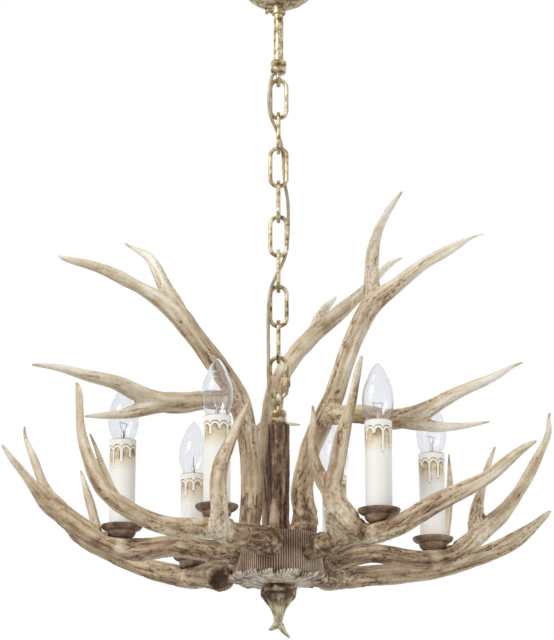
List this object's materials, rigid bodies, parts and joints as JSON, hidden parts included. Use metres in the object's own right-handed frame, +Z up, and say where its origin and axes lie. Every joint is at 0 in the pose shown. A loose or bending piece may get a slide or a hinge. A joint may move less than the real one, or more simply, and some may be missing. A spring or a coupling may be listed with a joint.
{
  "type": "chandelier",
  "caption": "Hanging chandelier of forked antlers on a turned hub, with candle lights in drip pans, on an oval-link chain with threaded flex and ceiling canopy.",
  "frame": {"origin": "middle of the ceiling bracket's top face, where it meets the ceiling", "axes": "+Z up, out of the ceiling; +X to the right and +Y away from someone in front of the light"},
  "size_m": [0.6485, 0.4951, 0.8143],
  "materials": {
    "aged_metal": "aged, satin",
    "zinc_steel": "zinc plated",
    "pan_metal": "dark bronze paint",
    "antler_resin": "cast resin, hand tinted",
    "bark_resin": "cast resin, dark tinted",
    "ivory_plastic": "ivory, wax look",
    "holder_plastic": "white",
    "block_plastic": "white",
    "flex_plastic": "clear gold sheath",
    "lead_plastic": "clear sheath",
    "clear_glass": "clear"
  },
  "bodies": {
    "ceiling_part": {"ceiling_bracket": "zinc_steel", "bracket_nipple": "zinc_steel", "bracket_nut": "zinc_steel", "terminal_block": "block_plastic", "stem_tube": "aged_metal", "stem_fitting": "aged_metal", "supply_flex": "flex_plastic"},
    "canopy": {"canopy": "aged_metal"},
    "collar": {"canopy_collar": "aged_metal"},
    "thumbscrew": {"collar_thumbscrew": "aged_metal"},
    "link_1": {"chain_link_1": "aged_metal"},
    "link_2": {"chain_link_2": "aged_metal"},
    "link_3": {"chain_link_3": "aged_metal"},
    "link_4": {"chain_link_4": "aged_metal"},
    "link_5": {"chain_link_5": "aged_metal"},
    "link_6": {"chain_link_6": "aged_metal"},
    "link_7": {"chain_link_7": "aged_metal"},
    "link_8": {"chain_link_8": "aged_metal"},
    "quick_link": {"quick_link": "aged_metal"},
    "quick_link_nut": {"quick_link_nut": "aged_metal"},
    "fixture": {"column_fitting": "aged_metal", "column": "bark_resin", "lamp_pipe": "zinc_steel", "pipe_nuts": "zinc_steel", "hub_drum": "bark_resin", "junction_block": "block_plastic", "hub_rosette": "bark_resin", "finial": "bark_resin", "upper_antler_left": "antler_resin", "upper_antler_right": "antler_resin", "upper_antler_back": "antler_resin", "lower_antler_left": "antler_resin", "lower_antler_back_left": "antler_resin", "lower_antler_front_left": "antler_resin", "lower_antler_front_right": "antler_resin", "lower_antler_right": "antler_resin", "lower_antler_back_right": "antler_resin", "antler_screws": "zinc_steel", "drip_pans": "pan_metal", "lampholders": "holder_plastic", "candle_nipples": "zinc_steel", "candle_leads": "lead_plastic", "candle_sleeve_1": "ivory_plastic", "candle_sleeve_2": "ivory_plastic", "candle_sleeve_3": "ivory_plastic", "candle_sleeve_4": "ivory_plastic", "candle_sleeve_5": "ivory_plastic", "candle_sleeve_6": "ivory_plastic"},
    "bulb_1": {"bulb_glass_1": "clear_glass", "bulb_cap_1": "aged_metal"},
    "bulb_2": {"bulb_glass_2": "clear_glass", "bulb_cap_2": "aged_metal"},
    "bulb_3": {"bulb_glass_3": "clear_glass", "bulb_cap_3": "aged_metal"},
    "bulb_4": {"bulb_glass_4": "clear_glass", "bulb_cap_4": "aged_metal"},
    "bulb_5": {"bulb_glass_5": "clear_glass", "bulb_cap_5": "aged_metal"},
    "bulb_6": {"bulb_glass_6": "clear_glass", "bulb_cap_6": "aged_metal"}
  },
  "joints": [
    {"name": "collar_slide", "type": "slide", "parent": "ceiling_part", "child": "collar", "axis": [0, 0, -1], "range_m": [0, 0.06]},
    {"name": "canopy_slide", "type": "slide", "parent": "ceiling_part", "child": "canopy", "axis": [0, 0, -1], "range_m": [0, 0.06]},
    {"name": "thumbscrew_turn", "type": "hinge", "parent": "collar", "child": "thumbscrew", "pos_m": [-0.0125, 0, -0.0505], "axis": [-1, 0, 0], "range_deg": [0, 720]},
    {"name": "link_1_swing", "type": "hinge", "parent": "ceiling_part", "child": "link_1", "pos_m": [0, 0, -0.14625], "axis": [0, 1, 0], "range_deg": [-10, 10], "deforming": ["supply_flex"]},
    {"name": "link_2_swing", "type": "hinge", "parent": "link_1", "child": "link_2", "pos_m": [0, 0, -0.189], "axis": [1, 0, 0], "range_deg": [-10, 10]},
    {"name": "link_3_swing", "type": "hinge", "parent": "link_2", "child": "link_3", "pos_m": [0, 0, -0.2321], "axis": [0, 1, 0], "range_deg": [-10, 10]},
    {"name": "link_4_swing", "type": "hinge", "parent": "link_3", "child": "link_4", "pos_m": [0, 0, -0.2752], "axis": [1, 0, 0], "range_deg": [-10, 10]},
    {"name": "link_5_swing", "type": "hinge", "parent": "link_4", "child": "link_5", "pos_m": [0, 0, -0.3183], "axis": [0, 1, 0], "range_deg": [-10, 10]},
    {"name": "link_6_swing", "type": "hinge", "parent": "link_5", "child": "link_6", "pos_m": [0, 0, -0.3614], "axis": [1, 0, 0], "range_deg": [-10, 10]},
    {"name": "link_7_swing", "type": "hinge", "parent": "link_6", "child": "link_7", "pos_m": [0, 0, -0.4045], "axis": [0, 1, 0], "range_deg": [-10, 10]},
    {"name": "link_8_swing", "type": "hinge", "parent": "link_7", "child": "link_8", "pos_m": [0, 0, -0.4476], "axis": [1, 0, 0], "range_deg": [-10, 10]},
    {"name": "quick_link_swing", "type": "hinge", "parent": "link_8", "child": "quick_link", "pos_m": [0, 0, -0.4907], "axis": [0, 1, 0], "range_deg": [-10, 10]},
    {"name": "fixture_swing", "type": "hinge", "parent": "quick_link", "child": "fixture", "pos_m": [0, 0, -0.5338], "axis": [1, 0, 0], "range_deg": [-10, 10]},
    {"name": "quick_nut_slide", "type": "slide", "parent": "quick_link", "child": "quick_link_nut", "axis": [0, 0, 1], "range_m": [0, 0.0095]},
    {"name": "bulb_1_turn", "type": "hinge", "parent": "fixture", "child": "bulb_1", "pos_m": [-0.17786, -0.02479, -0.59105], "axis": [0, 0, 1], "range_deg": [0, 1080]},
    {"name": "bulb_2_turn", "type": "hinge", "parent": "fixture", "child": "bulb_2", "pos_m": [-0.10277, 0.14177, -0.5942], "axis": [0, 0, 1], "range_deg": [0, 1080]},
    {"name": "bulb_3_turn", "type": "hinge", "parent": "fixture", "child": "bulb_3", "pos_m": [-0.06681, -0.16686, -0.59747], "axis": [0, 0, 1], "range_deg": [0, 1080]},
    {"name": "bulb_4_turn", "type": "hinge", "parent": "fixture", "child": "bulb_4", "pos_m": [0.10979, -0.14164, -0.59647], "axis": [0, 0, 1], "range_deg": [0, 1080]},
    {"name": "bulb_5_turn", "type": "hinge", "parent": "fixture", "child": "bulb_5", "pos_m": [0.17797, 0.02481, -0.59547], "axis": [0, 0, 1], "range_deg": [0, 1080]},
    {"name": "bulb_6_turn", "type": "hinge", "parent": "fixture", "child": "bulb_6", "pos_m": [0.06783, 0.16542, -0.59077], "axis": [0, 0, 1], "range_deg": [0, 1080]}
  ],
  "couplings": [
    {"joint": "canopy_slide", "follows": "collar_slide", "ratio": 1}
  ]
}
